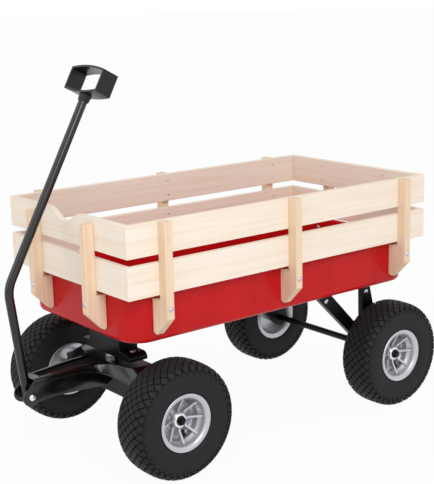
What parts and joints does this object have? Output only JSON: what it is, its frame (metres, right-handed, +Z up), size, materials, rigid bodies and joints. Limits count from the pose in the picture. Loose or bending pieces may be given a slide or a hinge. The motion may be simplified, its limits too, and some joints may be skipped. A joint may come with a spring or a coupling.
{
  "type": "garden cart",
  "caption": "Garden wagon with a pressed steel tray, wooden rail panels, pneumatic wheels, a steered front axle and a bent tube handle with a loop grip.",
  "frame": {"origin": "middle of the cart's length and width, on the ground under the tyres", "axes": "+X forward to the handle end, +Y to the left side, +Z up"},
  "size_m": [1.037, 0.539, 0.8482],
  "materials": {
    "red_enamel": "glossy red stove enamel on pressed sheet steel",
    "pine": "planed pale pine, clear satin",
    "black_paint": "glossy black powder coat",
    "tyre_rubber": "moulded black rubber with a block tread",
    "tube_rubber": "smooth black butyl rubber",
    "silver_paint": "satin silver paint on pressed steel",
    "zinc": "bright zinc plate",
    "grip_plastic": "moulded black plastic, semi-gloss"
  },
  "bodies": {
    "cart_body": {"tray": "red_enamel", "rail_left_upper": "pine", "rail_left_lower": "pine", "rail_right_upper": "pine", "rail_right_lower": "pine", "rail_front_upper": "pine", "rail_front_lower": "pine", "rail_rear_upper": "pine", "rail_rear_lower": "pine", "post_left_front": "pine", "post_bolt_left_front": "zinc", "post_left_middle": "pine", "post_bolt_left_middle": "zinc", "post_left_rear": "pine", "post_bolt_left_rear": "zinc", "post_right_front": "pine", "post_bolt_right_front": "zinc", "post_right_middle": "pine", "post_bolt_right_middle": "zinc", "post_right_rear": "pine", "post_bolt_right_rear": "zinc", "post_front_left": "pine", "post_bolt_front_left": "zinc", "post_front_right": "pine", "post_bolt_front_right": "zinc", "post_rear_left": "pine", "post_bolt_rear_left": "zinc", "post_rear_right": "pine", "post_bolt_rear_right": "zinc", "rear_bracket_left": "black_paint", "rear_bracket_right": "black_paint", "rear_axle": "black_paint", "front_bolster": "black_paint", "bearing_plate_upper": "zinc", "kingpin": "zinc", "kingpin_nut": "zinc", "axle_nut_rear_left": "zinc", "axle_nut_rear_right": "zinc"},
    "steering": {"steering_yoke": "black_paint", "axle_beam": "black_paint", "front_axle": "black_paint", "bearing_plate_lower": "zinc", "pivot_bolt": "zinc", "pivot_nut": "zinc", "axle_nut_front_left": "zinc", "axle_nut_front_right": "zinc"},
    "handle": {"handle_tube": "black_paint", "grip": "grip_plastic"},
    "wheel_front_left": {"tyre_front_left": "tyre_rubber", "rim_front_left": "silver_paint", "inner_tube_front_left": "tube_rubber"},
    "wheel_front_right": {"tyre_front_right": "tyre_rubber", "rim_front_right": "silver_paint", "inner_tube_front_right": "tube_rubber"},
    "wheel_rear_left": {"tyre_rear_left": "tyre_rubber", "rim_rear_left": "silver_paint", "inner_tube_rear_left": "tube_rubber"},
    "wheel_rear_right": {"tyre_rear_right": "tyre_rubber", "rim_rear_right": "silver_paint", "inner_tube_rear_right": "tube_rubber"}
  },
  "joints": [
    {"name": "steering_turn", "type": "hinge", "parent": "cart_body", "child": "steering", "pos_m": [0.26235, 0, 0.214], "axis": [0, 0, 1], "range_deg": [-30, 30]},
    {"name": "handle_pitch", "type": "hinge", "parent": "steering", "child": "handle", "pos_m": [0.48235, 0, 0.17], "axis": [0, 1, 0], "range_deg": [0, 115]},
    {"name": "wheel_front_left_spin", "type": "hinge", "parent": "steering", "child": "wheel_front_left", "pos_m": [0.26235, 0.2275, 0.127], "axis": [0, 1, 0], "continuous": true},
    {"name": "wheel_front_right_spin", "type": "hinge", "parent": "steering", "child": "wheel_front_right", "pos_m": [0.26235, -0.2275, 0.127], "axis": [0, 1, 0], "continuous": true},
    {"name": "wheel_rear_left_spin", "type": "hinge", "parent": "cart_body", "child": "wheel_rear_left", "pos_m": [-0.38165, 0.2275, 0.127], "axis": [0, 1, 0], "continuous": true},
    {"name": "wheel_rear_right_spin", "type": "hinge", "parent": "cart_body", "child": "wheel_rear_right", "pos_m": [-0.38165, -0.2275, 0.127], "axis": [0, 1, 0], "continuous": true}
  ]
}
